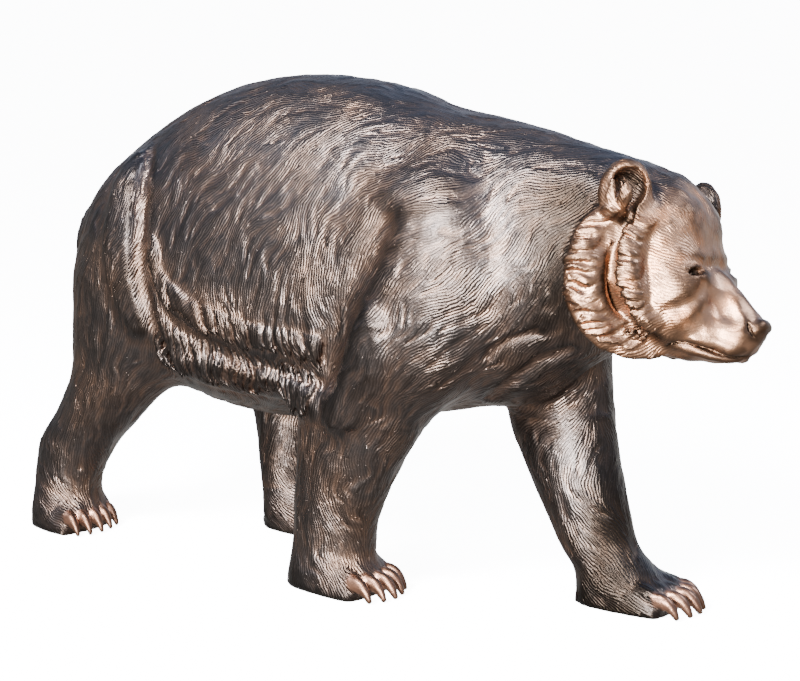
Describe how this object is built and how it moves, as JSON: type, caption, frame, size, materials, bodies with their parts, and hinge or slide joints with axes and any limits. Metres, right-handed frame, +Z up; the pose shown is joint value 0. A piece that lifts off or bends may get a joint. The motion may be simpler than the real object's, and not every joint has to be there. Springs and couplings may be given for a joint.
{
  "type": "bronze bear sculpture",
  "caption": "Life-size walking bear cast in patinated bronze, standing on its four paws with its head held low.",
  "frame": {"origin": "on the ground under the middle of the bear's overall box", "axes": "+X towards the nose, +Y to the bear's left, +Z up"},
  "size_m": [1.9308, 0.5816, 1.1325],
  "materials": {
    "bronze": "dark brown patina over cast bronze, rubbed lighter on the head, with polished claws"
  },
  "bodies": {
    "root": {"bear": "bronze"}
  },
  "joints": []
}
